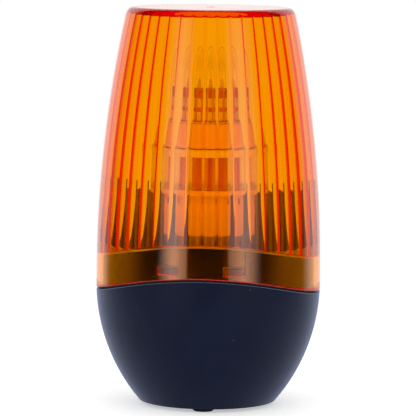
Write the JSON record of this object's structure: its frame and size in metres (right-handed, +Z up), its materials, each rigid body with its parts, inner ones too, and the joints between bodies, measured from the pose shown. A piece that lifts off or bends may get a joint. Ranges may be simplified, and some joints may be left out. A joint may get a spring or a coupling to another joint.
{
  "type": "warning light",
  "caption": "Round amber warning light with a fluted lens on a dark bowl-shaped base, an arched joint line and a screw lamp on a post inside.",
  "frame": {"origin": "middle of the base, on the surface that its feet stand on", "axes": "+Z up through the lamp, -Y out of the front with the snap teeth, +X to the right seen from the front"},
  "size_m": [0.095, 0.095, 0.1683],
  "materials": {
    "lens": "clear amber, polished",
    "base_housing": "fine matte grain",
    "rubber_feet": "matte",
    "cable_grommet": "matte",
    "lens_gasket": "matte",
    "flasher_board": "solder resist",
    "board_screws": "zinc plated",
    "post_screws": "zinc plated",
    "terminal_block": "satin",
    "terminal_cages": "nickel plated",
    "terminal_screws": "zinc plated",
    "smoothing_capacitor": "shrink sleeve",
    "switching_transistor": "moulded, metal tab",
    "timer_chip": "moulded",
    "lamp_post": "satin",
    "holder_body": "satin",
    "holder_ring": "satin",
    "holder_sleeve": "rolled",
    "holder_contact": "spring strip",
    "lamp_leads": "insulated wire",
    "lamp_tip": "solder",
    "cap_insulator": "moulded",
    "lamp_cap": "nickel plated",
    "lamp_collar": "satin",
    "led_core": "white board",
    "led_chips": "phosphor",
    "led_top_board": "white board",
    "end_led": "phosphor",
    "lamp_cover": "clear"
  },
  "bodies": {
    "base": {"base_housing": "base_housing", "rubber_feet": "rubber_feet", "cable_grommet": "cable_grommet", "lens_gasket": "lens_gasket", "flasher_board": "flasher_board", "board_screws": "board_screws", "post_screws": "post_screws", "terminal_block": "terminal_block", "terminal_cages": "terminal_cages", "terminal_screws": "terminal_screws", "smoothing_capacitor": "smoothing_capacitor", "switching_transistor": "switching_transistor", "timer_chip": "timer_chip", "lamp_post": "lamp_post", "holder_body": "holder_body", "holder_ring": "holder_ring", "holder_sleeve": "holder_sleeve", "holder_contact": "holder_contact", "lamp_leads": "lamp_leads"},
    "lens": {"lens": "lens"},
    "lamp_end": {"lamp_tip": "lamp_tip", "cap_insulator": "cap_insulator"},
    "lamp": {"lamp_cap": "lamp_cap", "lamp_collar": "lamp_collar", "led_core": "led_core", "led_chips": "led_chips", "led_top_board": "led_top_board", "end_led": "end_led", "lamp_cover": "lamp_cover"}
  },
  "joints": [
    {"name": "lens_lift", "type": "slide", "parent": "base", "child": "lens", "axis": [0, 0, 1], "range_m": [0, 0.125]},
    {"name": "lamp_rise", "type": "slide", "parent": "base", "child": "lamp_end", "axis": [0, 0, 1], "range_m": [0, 0.0099]},
    {"name": "lamp_turn", "type": "hinge", "parent": "lamp_end", "child": "lamp", "pos_m": [0, 0, 0.1], "axis": [0, 0, 1], "range_deg": [0, 1260]}
  ],
  "couplings": [
    {"joint": "lamp_rise", "follows": "lamp_turn", "m_per_rad": 0.00044563}
  ]
}
